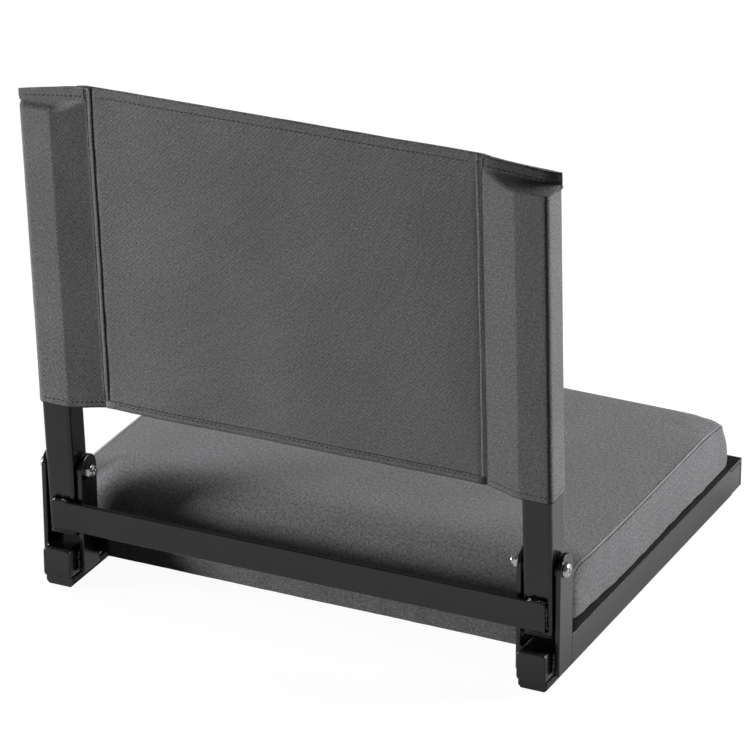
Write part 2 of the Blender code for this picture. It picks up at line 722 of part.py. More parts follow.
def pocket_mesh(hand):
    """Inside of a sleeve: the room for the upright and the wedge between the two sheets beside it."""
    wall = SLEEVE_DEPTH - CLOTH
    inner = UPRIGHT_X - wall
    outer = UPRIGHT_X + wall
    corner = TUBE_ROUND + SLEEVE_EASE
    ease = corner * (1 - math.sqrt(0.5))
    columns = [
        (SEAM_X + SEAM_FOLD + CLOTH, PANEL_BACK + GAP, PANEL_BACK - GAP),
        (inner, wall - CLOTH / 2, CLOTH / 2 - wall),
        (inner + corner, wall, -wall),
        (outer - corner, wall, -wall),
        (outer - ease, wall - ease, ease - wall),
        (outer, wall - corner, corner - wall),
    ]
    stations = []
    for height in (SLING_BOTTOM - 2 * SLEEVE_DROP, PLUG_TOP + SLEEVE_EASE):
        station = []
        for x, rear, front in columns:
            station.append((Vector((hand * x, rear, height)), Vector((hand * x, front, height))))
        stations.append(station)
    return strip_mesh(stations)


def build_sling(back, canvas):
    """Canvas back: a flat panel with a sleeve over each upright, sewn shut in a flat hem along the top."""
    hem = SLING_TOP - SLING_HEM
    rise = hem - SLEEVE_CLOSE
    full_droop = SLING_TOP - SLEEVE_CLOSE
    rows = [
        (SLING_BOTTOM, 1, 0, 1),
        (SLING_BOTTOM + SLING_HEM, 1, 0, 1),
        ((SLING_BOTTOM + SLEEVE_CLOSE) / 2, 1, 0, 0),
        (SLEEVE_CLOSE, 1, 0, 0),
    ]
    rows += [(SLEEVE_CLOSE + way * rise, depth, way * rise / full_droop, 0) for way, depth in HEM_PINCH]
    rows += [(hem, 0, rise / full_droop, 0), (SLING_TOP, 0, 1, 0)]
    sling = add("sling", strip_mesh([sling_station(*row) for row in rows]), canvas, back)
    for side, hand in SIDES:
        combine(sling, add_tool(f"pocket_{side}", pocket_mesh(hand), back), "DIFFERENCE")


def main():
    for old in list(bpy.data.objects):
        bpy.data.objects.remove(old, do_unlink=True)

    steel = finish("black paint", (0.006, 0.006, 0.0065), 0.24)
    bright = finish("zinc plate", (0.40, 0.40, 0.41), 0.30, 1.0)
    plastic = finish("black plastic", (0.012, 0.012, 0.0125), 0.4)
    rubber = finish("black rubber", (0.014, 0.014, 0.014), 0.8)
    nylon = finish("black nylon", (0.02, 0.02, 0.02), 0.55)
    wood = finish("plywood", (0.42, 0.29, 0.16), 0.7)
    foam = finish("foam", (0.55, 0.53, 0.48), 0.95)
    fabric = finish("grey cover fabric", (0.178, 0.178, 0.184), 0.9)
    canvas = finish("grey canvas", (0.176, 0.172, 0.175), 0.9)

    base = add_empty("base")
    back = add_empty("back_hinge", (0, PIVOT_Y, PIVOT_Z), (-math.radians(LEAN), 0, 0))

    build_side_rails(base, steel)
    rails = build_cross_rails(base, steel)
    build_runners(base, steel, plastic, rubber)
    bores = build_hinges(base, steel, bright, nylon)
    build_seat(base, rails, wood, foam, fabric, bright)
    build_back_frame(back, steel, plastic, bores)
    build_sling(back, canvas)
    bpy.context.view_layer.update()


main()
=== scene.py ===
"""Looks of a folding stadium chair: padded seat, sewn sling, painted steel frame and plated hinge bolts."""
import json
import math

import bmesh
import bpy
from mathutils import Matrix, Vector, noise


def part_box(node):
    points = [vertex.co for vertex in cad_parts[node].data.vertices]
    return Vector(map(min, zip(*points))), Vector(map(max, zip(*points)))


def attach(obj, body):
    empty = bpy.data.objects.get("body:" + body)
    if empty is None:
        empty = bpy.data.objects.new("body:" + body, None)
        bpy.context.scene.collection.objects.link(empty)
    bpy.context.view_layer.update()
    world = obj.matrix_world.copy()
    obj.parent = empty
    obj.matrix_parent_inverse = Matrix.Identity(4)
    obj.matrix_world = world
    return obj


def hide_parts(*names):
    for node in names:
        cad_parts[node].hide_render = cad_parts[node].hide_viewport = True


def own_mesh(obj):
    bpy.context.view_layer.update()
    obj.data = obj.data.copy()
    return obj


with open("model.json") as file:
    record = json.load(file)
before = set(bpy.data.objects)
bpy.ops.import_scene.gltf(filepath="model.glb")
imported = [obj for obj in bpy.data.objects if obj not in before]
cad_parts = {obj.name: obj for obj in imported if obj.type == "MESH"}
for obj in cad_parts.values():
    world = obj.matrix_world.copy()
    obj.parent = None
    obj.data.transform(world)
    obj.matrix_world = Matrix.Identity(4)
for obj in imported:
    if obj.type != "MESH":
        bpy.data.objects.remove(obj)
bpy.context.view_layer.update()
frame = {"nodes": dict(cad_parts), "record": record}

nodes = frame["nodes"]

# Sizes shared with the solids, in metres
PIVOT_Y = 0.172115
PIVOT_Z = 0.1006
BACK_LEAN = math.radians(3.3)
HALF_WIDTH = 0.2307
UPRIGHT_X = 0.2120

# Sling, in the back's own frame: x across, y to the rear, height along the uprights from the hinge
SEAM_X = 0.1668
PANEL_BACK = 0.006
CLOTH = 0.0010
SLEEVE_OUT = 0.0136
SLING_BOTTOM = 0.066
SLING_TOP = 0.3455
TUBE_END = 0.3225
TOP_HEM = 0.0095
TOP_STITCH = 0.0078
MOUTH_HEM = 0.0066
MOUTH_STITCH = 0.0046
SLEEVE_DROP = 0.0022
SLEEVE_DROOP = 0.0110
HEM_END_X = 0.2281
HEM_END_LEFT = 0.0072
HEM_END_RIGHT = -0.0072
FLATTEN_LEFT, FLATTEN_RIGHT = 2.2, 1.4      # how fast each sleeve closes above its tube
LEFT_DENT = 0.030
CORNER_BULGE = 0.010
SIDE_HOLLOW = 0.012
HEM_FOLD = 0.0011                           # cloth turned over along the panel's edges
SLEEVE_FOLD = 0.0005
PANEL_RIPPLE = 0.0016
HEM_RIPPLE = 0.0005
SLEEVE_RIPPLE = 0.0006
MOUTH_FLARE = 0.0004
HEM_PITCH, HEM_THREAD = 0.0041, 0.00040     # stitch length and thread radius
SEAM_PITCH, SEAM_THREAD = 0.0026, 0.00036

# Cushion: distances ahead of the hinge, heights above the ground
SEAT_MIDDLE = 0.19747
SEAT_LONG = 0.16753
SEAT_FLOOR = 0.0375
SEAT_SEAM_Z = 0.0838
SEAM_HALF = 0.2245
SEAM_DRAW = 0.0020
FOOT_HALF = 0.2258
FRONT_ROUND = 0.029
REAR_ROUND = 0.030
FRONT_CORNER = (0.013, 0.024)
REAR_CORNER = (0.016, 0.036)
CORNER_FROM_Z = 0.058
CALM_X, CALM_Y = 0.195, -0.125              # where the sinking front corners begin
CORNER_FALL = 0.0034
LEFT_SEAM_FALL = 0.0020
SEAT_CROWN = 0.0070
PILLOW_RISE = 0.0015
PILLOW_REACH = 0.0065                       # distance in from the seam over which it rises
SWELL_LIMIT = 0.0020
FILL_PRESSURE = 4.0
REAR_DRAW = 0.003
FOOT_DRAW = 0.0040
SIDE_BULGE = 0.0010
SEAT_PITCH, SEAT_THREAD = 0.0036, 0.00034
ROLL_RADIUS = 0.0009
LEFT_ROLL = 0.5                             # the left roll's share of that radius

# Cover cloth over the rear rail
SKIRT_HALF = 0.1925
SKIRT_CLOTH = 0.0006
SKIRT_STAND = 0.0003
SKIRT_CREASE = 0.0006

# Welds and hinge bolts
WELD_STEP = 0.0007
WELD_PITCH = 0.0024
WELD_DRIFT = 0.0007
BOLT_RADIUS = 0.0030
THREAD_ROOT = 0.0026
THREAD_FROM = 0.1935
HALF_PITCH = 0.0005
RECESS_LONG, RECESS_WIDE, RECESS_DEEP = 0.0036, 0.0006, 0.0024
RECESS_TURN = math.radians(28)

# Studio
CAMERA_PLACE = (-1.4472, 3.0144, 1.6500)
CAMERA_FORWARD = (0.3986, -0.8210, -0.4087)
CAMERA_RIGHT = (-0.90028, -0.43529, -0.00365)
CAMERA_LENS = 213.744
WORLD_FILL = 0.04
WORLD_MIRRORED = 0.11                       # added to the fill where it is mirrored
FLOOR_HALF = 6.0
FLOOR_DROP = 0.0005
FLOOR_GREY = 0.10
FLOOR_GLOW = 0.95
FLOOR_SHADE = 0.45                          # what the chair's shade takes from the mirrored floor
SOFTBOXES = (                               # name, place, aim, size in metres, watts
    ("key softbox", (-2.10, -1.54, 1.22), (0, 0, 0.15), (1.4, 1.4), 125),
    ("side card", (2.00, 1.06, 0.32), (0.0, 0.17, 0.25), (0.5, 0.4), 58),
    ("front card", (1.3, -0.3, 1.0), (0.0, 0.0, 0.1), (0.9, 0.9), 8.0),
)

back_place = Matrix.Translation((0, PIVOT_Y, PIVOT_Z)) @ Matrix.Rotation(-BACK_LEAN, 4, "X")


def mix(a, b, share):
    return a + (b - a) * share


def clamp(value, low=0.0, high=1.0):
    return max(low, min(high, value))


def smooth(value):
    value = clamp(value)
    return value * value * (3 - 2 * value)


# Node helpers

def feed(tree, socket, value):
    """Leads another node's socket into this one, or sets it to a plain value."""
    if isinstance(value, bpy.types.NodeSocket):
        tree.links.new(value, socket)
    else:
        socket.default_value = value


def place(tree, kind, inputs=None, **settings):
    """Adds a node; an input is another node's socket or a plain value."""
    made = tree.nodes.new(kind)
    for key, value in settings.items():
        setattr(made, key, value)
    for key, value in (inputs or {}).items():
        feed(tree, made.inputs[key], value)
    return made


def calc(tree, operation, *values):
    return place(tree, "ShaderNodeMath", dict(enumerate(values)), operation=operation).outputs[0]


def new_group(name, inputs, outputs):
    """An empty shader group with its named sockets: its tree, given values and place for results."""
    tree = bpy.data.node_groups.new(name, "ShaderNodeTree")
    for label, kind in inputs:
        tree.interface.new_socket(label, in_out="INPUT", socket_type="NodeSocket" + kind)
    for label, kind in outputs:
        tree.interface.new_socket(label, in_out="OUTPUT", socket_type="NodeSocket" + kind)
    return tree, tree.nodes.new("NodeGroupInput").outputs, tree.nodes.new("NodeGroupOutput").inputs


def use_group(tree, group, **inputs):
    made = tree.nodes.new("ShaderNodeGroup")
    made.node_tree = group
    for key, value in inputs.items():
        feed(tree, made.inputs[key.replace("_", " ")], value)
    return made.outputs


def woven_threads_group():
    """Two-over-two twill: the height and the shade of the crossing threads."""
    tree, given, result = new_group(
        "woven threads",
        [("Cloth place", "Vector"), ("Threads per metre", "Float")],
        [("Thread height", "Float"), ("Thread shade", "Float")])
    counted = place(tree, "ShaderNodeVectorMath",
                    {0: given["Cloth place"], "Scale": given["Threads per metre"]}, operation="SCALE")
    split = place(tree, "ShaderNodeSeparateXYZ", {0: counted.outputs[0]})
    across, along = split.outputs[0], split.outputs[1]
    step = calc(tree, "ADD", calc(tree, "FLOOR", across), calc(tree, "FLOOR", along))
    warp_up = calc(tree, "LESS_THAN", calc(tree, "FLOORED_MODULO", step, 4.0), 2.0)
    warp = calc(tree, "SINE", calc(tree, "MULTIPLY", calc(tree, "FRACT", across), math.pi))
    weft = calc(tree, "SINE", calc(tree, "MULTIPLY", calc(tree, "FRACT", along), math.pi))
    height = place(tree, "ShaderNodeMix", {0: warp_up, 2: weft, 3: warp}, data_type="FLOAT").outputs[0]
    slub = place(tree, "ShaderNodeTexNoise", {"Vector": counted.outputs[0], "Scale": 0.50, "Detail": 2.0})
    shade = calc(tree, "MULTIPLY_ADD", height, 0.40, calc(tree, "MULTIPLY", slub.outputs[0], 0.60))
    tree.links.new(height, result["Thread height"])
    tree.links.new(shade, result["Thread shade"])
    return tree


def uneven_tone_group():
    """A tone round 1 that drifts in large and small patches."""
    tree, given, result = new_group(
        "uneven tone",
        [("Surface place", "Vector"), ("Patches per metre", "Float"), ("Drift", "Float")],
        [("Tone", "Float"), ("Patch", "Float")])
    large = place(tree, "ShaderNodeTexNoise", {
        "Vector": given["Surface place"], "Scale": given["Patches per metre"], "Detail": 3.0})
    fine = place(tree, "ShaderNodeTexNoise", {
        "Vector": given["Surface place"], "Scale": calc(tree, "MULTIPLY", given["Patches per metre"], 14.0),
        "Detail": 2.0})
    both = calc(tree, "MULTIPLY_ADD", fine.outputs[0], 0.5, large.outputs[0])
    centred = calc(tree, "SUBTRACT", both, 0.75)
    tone = calc(tree, "MULTIPLY_ADD", centred, given["Drift"], 1.0)
    tree.links.new(tone, result["Tone"])
    tree.links.new(large.outputs[0], result["Patch"])
    return tree


def worn_edge_group():
    """A mask of the rubbed outer edges and the normal of an edge that is slightly rounded."""
    tree, given, result = new_group(
        "worn edge",
        [("Surface place", "Vector"), ("Edge radius", "Float"), ("Wear", "Float")],
        [("Edge mask", "Float"), ("Rounded normal", "Vector")])
    bevel = place(tree, "ShaderNodeBevel", {"Radius": given["Edge radius"]}, samples=6)
    geometry = place(tree, "ShaderNodeNewGeometry")
    facing = place(tree, "ShaderNodeVectorMath", {0: bevel.outputs[0], 1: geometry.outputs["Normal"]},
                   operation="DOT_PRODUCT").outputs["Value"]
    turned = calc(tree, "MULTIPLY", calc(tree, "SUBTRACT", 1.0, facing), 6.0)
    broken = place(tree, "ShaderNodeTexNoise", {
        "Vector": given["Surface place"], "Scale": 160.0, "Detail": 3.0})
    ragged = calc(tree, "MULTIPLY", turned, broken.outputs[0])
    mask = place(tree, "ShaderNodeMath", {0: ragged, 1: given["Wear"]}, operation="MULTIPLY", use_clamp=True)
    tree.links.new(mask.outputs[0], result["Edge mask"])
    tree.links.new(bevel.outputs[0], result["Rounded normal"])
    return tree


def fine_grain_group():
    """The small ripples of a paint film or a moulded skin."""
    tree, given, result = new_group(
        "fine grain",
        [("Surface place", "Vector"), ("Grains per metre", "Float")],
        [("Grain height", "Float")])
    ripple = place(tree, "ShaderNodeTexNoise", {
        "Vector": given["Surface place"], "Scale": given["Grains per metre"],
        "Detail": 1.5, "Roughness": 0.4})
    tree.links.new(ripple.outputs[0], result["Grain height"])
    return tree


woven_threads = woven_threads_group()
uneven_tone = uneven_tone_group()
worn_edge = worn_edge_group()
fine_grain = fine_grain_group()


def new_material(name):
    made = bpy.data.materials.new(name)
    made.use_nodes = True
    tree = made.node_tree
    tree.nodes.clear()
    shader = tree.nodes.new("ShaderNodeBsdfPrincipled")
    output = tree.nodes.new("ShaderNodeOutputMaterial")
    tree.links.new(shader.outputs[0], output.inputs["Surface"])
    return made, tree, shader


def toned(tree, colour, tone):
    """The colour times a tone."""
    return place(tree, "ShaderNodeVectorMath", {0: colour, "Scale": tone}, operation="SCALE").outputs[0]


def add_relief(tree, shader, height, depth, **more):
    """Leads a height to the shader's normal, as a bump of that depth in metres."""
    bump = place(tree, "ShaderNodeBump", {"Height": height, "Strength": 1.0, "Distance": depth, **more})
    tree.links.new(bump.outputs[0], shader.inputs["Normal"])


def hard_finish(name, colour, worn_colour, roughness, grain, film, wear,
                edge=0.0012, metallic=0.0, patches=9.0, drift=0.5):
    """Paint, plating or moulded plastic: drifting tone, rubbed edges, uneven gloss and a rippled film."""
    made, tree, shader = new_material(name)
    where = place(tree, "ShaderNodeTexCoord").outputs["Object"]
    tone = use_group(tree, uneven_tone, Surface_place=where, Patches_per_metre=patches, Drift=drift)
    rub = use_group(tree, worn_edge, Surface_place=where, Edge_radius=edge, Wear=wear)
    film_ripple = use_group(tree, fine_grain, Surface_place=where, Grains_per_metre=grain)
    body = toned(tree, colour, tone["Tone"])
    worn = place(tree, "ShaderNodeMix", {
        0: rub["Edge mask"], 6: body, 7: (*worn_colour, 1.0)}, data_type="RGBA")
    tree.links.new(worn.outputs[2], shader.inputs["Base Color"])
    gloss = calc(tree, "MULTIPLY_ADD", tone["Patch"], 0.12, roughness - 0.06)
    tree.links.new(gloss, shader.inputs["Roughness"])
    shader.inputs["Metallic"].default_value = metallic
    shader.inputs["IOR"].default_value = 1.41
    add_relief(tree, shader, film_ripple["Grain height"], film, Normal=rub["Rounded normal"])
    return made


def cloth_finish(name, colour, threads, relief, drift, thread_depth, sheen):
    """Woven cloth: twill threads, slubs and a drifting tone, laid along the cut of the piece."""
    made, tree, shader = new_material(name)
    where = place(tree, "ShaderNodeUVMap", uv_map="cloth").outputs[0]
    weave = use_group(tree, woven_threads, Cloth_place=where, Threads_per_metre=threads)
    tone = use_group(tree, uneven_tone, Surface_place=where, Patches_per_metre=16.0, Drift=drift)
    thread_tone = calc(tree, "MAXIMUM", 0.15, calc(
        tree, "MULTIPLY_ADD", weave["Thread shade"], thread_depth, 1.0 - 0.555 * thread_depth))
    body = toned(tree, colour, calc(tree, "MULTIPLY", thread_tone, tone["Tone"]))
    tree.links.new(body, shader.inputs["Base Color"])
    dull = calc(tree, "MULTIPLY_ADD", weave["Thread height"], -0.08, 0.92)
    tree.links.new(dull, shader.inputs["Roughness"])
    shader.inputs["Specular IOR Level"].default_value = 0.12
    shader.inputs["Sheen Weight"].default_value = sheen
    shader.inputs["Sheen Roughness"].default_value = 0.5
    add_relief(tree, shader, weave["Thread height"], relief)
    return made


def thread_finish(name, colour):
    """Twisted sewing thread."""
    made, tree, shader = new_material(name)
    where = place(tree, "ShaderNodeTexCoord").outputs["Object"]
    tone = use_group(tree, uneven_tone, Surface_place=where, Patches_per_metre=220.0, Drift=0.7)
    tree.links.new(toned(tree, colour, tone["Tone"]), shader.inputs["Base Color"])
    twist = use_group(tree, fine_grain, Surface_place=where, Grains_per_metre=3200.0)
    add_relief(tree, shader, twist["Grain height"], 0.0001)
    shader.inputs["Roughness"].default_value = 0.7
    shader.inputs["Specular IOR Level"].default_value = 0.2
    return made


def plywood_finish():
    """Plywood: streaked grain on the faces and dark and light plies at the edge."""
    made, tree, shader = new_material("plywood veneer")
    where = place(tree, "ShaderNodeTexCoord").outputs["Object"]
    stretched = place(tree, "ShaderNodeMapping", {"Vector": where, "Scale": (6.0, 140.0, 140.0)})
    streak = place(tree, "ShaderNodeTexNoise", {"Vector": stretched.outputs[0], "Scale": 1.0, "Detail": 5.0})
    tone = use_group(tree, uneven_tone, Surface_place=where, Patches_per_metre=7.0, Drift=0.5)
    grain = place(tree, "ShaderNodeValToRGB", {0: streak.outputs[0]})
    grain.color_ramp.elements[0].color = (0.26, 0.16, 0.08, 1)
    grain.color_ramp.elements[0].position = 0.3
    grain.color_ramp.elements[1].color = (0.50, 0.36, 0.21, 1)
    grain.color_ramp.elements[1].position = 0.7
    tree.links.new(toned(tree, grain.outputs[0], tone["Tone"]), shader.inputs["Base Color"])
    shader.inputs["Roughness"].default_value = 0.7
    add_relief(tree, shader, streak.outputs[0], 0.0002)
    return made


black_paint = hard_finish("black frame paint", (0.005, 0.005, 0.0055), (0.03, 0.03, 0.031),
                          roughness=0.22, grain=420.0, film=0.00002, wear=0.5, patches=14.0, drift=3.0)
weld_paint = hard_finish("painted weld", (0.012, 0.012, 0.0125), (0.05, 0.05, 0.05),
                         roughness=0.14, grain=900.0, film=0.00040, wear=0.3, edge=0.0005)
zinc_plate = hard_finish("bright zinc plate", (0.36, 0.36, 0.37), (0.55, 0.55, 0.55),
                         roughness=0.30, grain=1500.0, film=0.00003, wear=0.5, edge=0.0004, metallic=1.0)
black_plastic = hard_finish("black moulded plastic", (0.012, 0.012, 0.0125), (0.03, 0.03, 0.03),
                            roughness=0.40, grain=2200.0, film=0.00003, wear=0.5)
black_rubber = hard_finish("black strip rubber", (0.014, 0.014, 0.014), (0.04, 0.04, 0.04),
                           roughness=0.65, grain=1400.0, film=0.00008, wear=0.8)
black_nylon = hard_finish("black washer nylon", (0.018, 0.018, 0.018), (0.04, 0.04, 0.04),
                          roughness=0.45, grain=1800.0, film=0.00002, wear=0.4, edge=0.0003)
plywood = plywood_finish()
seat_cloth = cloth_finish("grey seat cloth", (0.178, 0.178, 0.184), threads=950.0, relief=0.00020,
                          drift=0.34, thread_depth=2.9, sheen=0.05)
# Painted highlight: a lighter copy of the seat cloth, for the lit line along the seam rolls.
seat_roll_cloth_painted_highlight = cloth_finish("seat roll cloth lightened as painted highlight", (0.262, 0.262, 0.270), threads=950.0,
                               relief=0.00010, drift=0.34, thread_depth=1.6, sheen=0.05)
sling_cloth = cloth_finish("grey sling canvas", (0.203, 0.199, 0.201), threads=1100.0, relief=0.00022,
                           drift=0.34, thread_depth=2.7, sheen=0.04)
sewing_thread = thread_finish("grey sewing thread", (0.20, 0.20, 0.205))
# Painted shade: near-black for the shadow inside the needle holes.
needle_hole_painted_shade = thread_finish("needle holes painted as shade", (0.02, 0.02, 0.021))

SLOT_FINISH = {
    "black_paint": black_paint, "zinc_plate": zinc_plate, "black_plastic": black_plastic,
    "black_rubber": black_rubber, "black_nylon": black_nylon, "plywood": plywood,
    "foam": seat_cloth, "cover_fabric": seat_cloth, "sling_canvas": sling_cloth,
}
for entry in frame["record"]["subparts"]:
    materials = nodes[entry["node"]].data.materials
    materials.clear()
    materials.append(SLOT_FINISH[entry["material_slot"]])


# Mesh helpers

def new_piece(name, points, faces, *finishes):
    mesh = bpy.data.meshes.new(name)
    mesh.from_pydata([tuple(p) for p in points], [], faces)
    mesh.update()
    for finish in finishes:
        mesh.materials.append(finish)
    mesh.polygons.foreach_set("use_smooth", [True] * len(mesh.polygons))
    piece = bpy.data.objects.new(name, mesh)
    bpy.context.scene.collection.objects.link(piece)
    return piece


def bake(piece):
    """Applies the modifiers to the mesh."""
    graph = bpy.context.evaluated_depsgraph_get()
    graph.update()
    mesh = bpy.data.meshes.new_from_object(piece.evaluated_get(graph))
    piece.modifiers.clear()
    old = piece.data
    piece.data = mesh
    bpy.data.meshes.remove(old)


def lay_cloth(piece, place_of):
    """Writes each corner's place on the cut cloth, in metres, as the layer that the weave follows."""
    layer = piece.data.uv_layers.new(name="cloth")
    for corner in piece.data.loops:
        layer.data[corner.index].uv = place_of(corner.vertex_index)


def thicken(piece, thickness):
    """Gives a sheet the thickness of its cloth, half to each side."""
    thick = piece.modifiers.new("cloth thickness", "SOLIDIFY")
    thick.thickness = thickness
    thick.offset = 0.0
    bake(piece)


def run_of(path):
    """The length travelled at each point of a path."""
    run = [0.0]
    for a, b in zip(path, path[1:]):
        run.append(run[-1] + (b - a).length)
    return run


def spread(path, pitch, start=0.0):
    """Points along a path at an even pitch, each with its normal: (point, normal) pairs."""
    made, travelled, want = [], 0.0, start
    for (a, na), (b, nb) in zip(path, path[1:]):
        length = (b - a).length
        while length > 0 and travelled + length >= want:
            share = (want - travelled) / length
            made.append((a.lerp(b, share), na.lerp(nb, share).normalized()))
            want += pitch
        travelled += length
    return made


def tube_faces(first, rings, sides):
    """Faces of a closed tube whose rings of points run on from the first: its wall, then both ends."""
    faces = []
    for ring in range(rings - 1):
        low, high = first + ring * sides, first + (ring + 1) * sides
        for k in range(sides):
            faces.append((low + k, low + (k + 1) % sides, high + (k + 1) % sides, high + k))
    faces.append(tuple(first + k for k in reversed(range(sides))))
    faces.append(tuple(first + (rings - 1) * sides + k for k in range(sides)))
    return faces


def sew(lines, name, pitch, thread, filled=0.62, hole=0.0008):
    """Thread stitches along each line of (point, normal), with a dark disc as painted shade in each needle
    hole between them.
    """
    points, faces, finish = [], [], []
    sides, rim = 6, 8
    # The rings of one stitch: share of its length, height and size in thread radii
    arch = ((0.0, -0.5, 0.5), (0.15, 0.35, 0.9), (0.5, 0.75, 1.0), (0.85, 0.35, 0.9), (1.0, -0.5, 0.5))
    for line in lines:
        marks = spread(line, pitch, pitch * 0.5)
        for (a, na), (b, nb) in zip(marks, marks[1:]):
            run = (b - a) * filled
            up = (na + nb).normalized()
            beside = up.cross(run).normalized()
            first = len(points)
            for share, lift, size in arch:
                middle = a + run * share + up * thread * lift
                for k in range(sides):
                    turn = 2 * math.pi * k / sides
                    spoke = beside * math.cos(turn) + up * math.sin(turn) * 0.8
                    points.append(middle + spoke * thread * size)
            stitch = tube_faces(first, len(arch), sides)
            faces += stitch
            finish += [0] * len(stitch)
            # Painted shade: a dark disc for the shadow in the needle hole after each stitch.
            middle = a + (b - a) * (filled + 1) * 0.5 + up * 0.00008
            along = (b - a).normalized()
            first = len(points)
            for k in range(rim):
                turn = 2 * math.pi * k / rim
                points.append(middle + along * hole * math.cos(turn) + beside * hole * 0.6 * math.sin(turn))
            points.append(middle + up * 0.0001)
            for k in range(rim):
                faces.append((first + k, first + (k + 1) % rim, first + rim))
                finish.append(1)
    piece = new_piece(name, points, faces, sewing_thread, needle_hole_painted_shade)
    piece.data.polygons.foreach_set("material_index", finish)
    return piece


# Sling

def rounded(corners, spacing=0.0024, steps=5):
    """A path through (x, y, radius) corners with its bends rounded and its straights divided."""
    bends = []
    for i, (x, y, radius) in enumerate(corners):
        here = Vector((x, y))
        if radius == 0:
            bends.append([here])
            continue
        before = (Vector(corners[i - 1][:2]) - here).normalized()
        after = (Vector(corners[i + 1][:2]) - here).normalized()
        half = before.angle(after) / 2
        reach = radius / math.tan(half)
        middle = here + (before + after).normalized() * (radius / math.sin(half))
        a, b = here + before * reach - middle, here + after * reach - middle
        swing = a.angle_signed(b)
        bends.append([middle + Matrix.Rotation(-swing * k / steps, 2) @ a for k in range(steps + 1)])
    path = list(bends[0])
    for bend in bends[1:]:
        gap = bend[0] - path[-1]
        pieces = max(1, round(gap.length / spacing))
        start = path[-1]
        path += [start + gap * (k / pieces) for k in range(1, pieces + 1)]
        path += bend[1:]
    return path


def half_section(hem_end):
    """Half the sewn section, from the middle of the sling round one upright to the folded seam edge.

    Entries: (x, y) round the tube, (x, y) pressed flat in the top hem, share of the way out,
    kind of cloth."""
    inner, outer = UPRIGHT_X - SLEEVE_OUT, UPRIGHT_X + SLEEVE_OUT
    section = []
    for k in range(23):
        x = SEAM_X * k / 22
        section.append(((x, PANEL_BACK), (x, PANEL_BACK), 0.0, "panel"))
    front = rounded([(SEAM_X, PANEL_BACK, 0), (inner, -SLEEVE_OUT, 0.006), (outer, -SLEEVE_OUT, 0.0040),
                     (outer, 0, 0)])
    rear = rounded([(outer, 0, 0), (outer, SLEEVE_OUT, 0.0036), (inner, SLEEVE_OUT, 0.006),
                    (SEAM_X + 0.0016, PANEL_BACK + 0.0003, 0)])
    for path, offset in ((front[1:], -0.0006), (rear[1:], 0.0009)):
        for p in path:
            share = clamp((p.x - SEAM_X) / (outer - SEAM_X))
            middle = mix(PANEL_BACK, hem_end, share ** 1.5)
            flat = (mix(SEAM_X + 0.0014, HEM_END_X, share), middle + offset * min(1, 4 * (1 - share) + 0.2))
            section.append((tuple(p), flat, share, "sleeve"))
    for x, y in ((0.0008, 0.0004), (-0.0001, 0.0006), (-0.0008, 0.0008), (-0.0015, 0.0008), (-0.0021, 0.0007),
                 (-0.0024, 0.0005)):
        spot = (SEAM_X + x, PANEL_BACK + y)
        section.append((spot, spot, 0.0, "lip"))
    return section


def row_heights():
    """(height, fold) for each row; fold is -1 in the mouth's turned-in hem, +1 in the top hem, else 0."""
    rows = [(SLING_BOTTOM + h, -1.0) for h in (MOUTH_HEM, MOUTH_STITCH, 0.0025, 0.001)]
    rows.append((SLING_BOTTOM - 0.0003, -0.5))
    rows += [(SLING_BOTTOM + h, 0.0) for h in (
        0.001, 0.0025, MOUTH_STITCH, 0.0058, MOUTH_HEM + 0.0006, 0.009, 0.013)]
    start, stop = SLING_BOTTOM + 0.018, TUBE_END - 0.006
    count = 44
    rows += [(mix(start, stop, k / count), 0.0) for k in range(count + 1)]
    hem = SLING_TOP - TOP_HEM
    rows += [(TUBE_END - h, 0.0) for h in (0.0035, 0.0015, 0.0005)]
    rows += [(mix(TUBE_END, hem, k / 10), 0.0) for k in range(11)]
    rows += [(SLING_TOP - h, 0.0) for h in (TOP_STITCH, 0.006, 0.004, 0.002, 0.0008)]
    rows.append((SLING_TOP + 0.0002, 0.5))
    rows += [(SLING_TOP - h, 1.0) for h in (0.0008, 0.003, 0.006, TOP_HEM)]
    return rows


def sleeve_fill(height, share):
    """1 round the tube and 0 in the top hem: falls from the tube's end on, but near the seam only just
    below the hem."""
    hem = SLING_TOP - TOP_HEM
    start = mix(hem - 0.003, TUBE_END, smooth(share / 0.55))
    return 1 - clamp((height - start) / (hem - start))


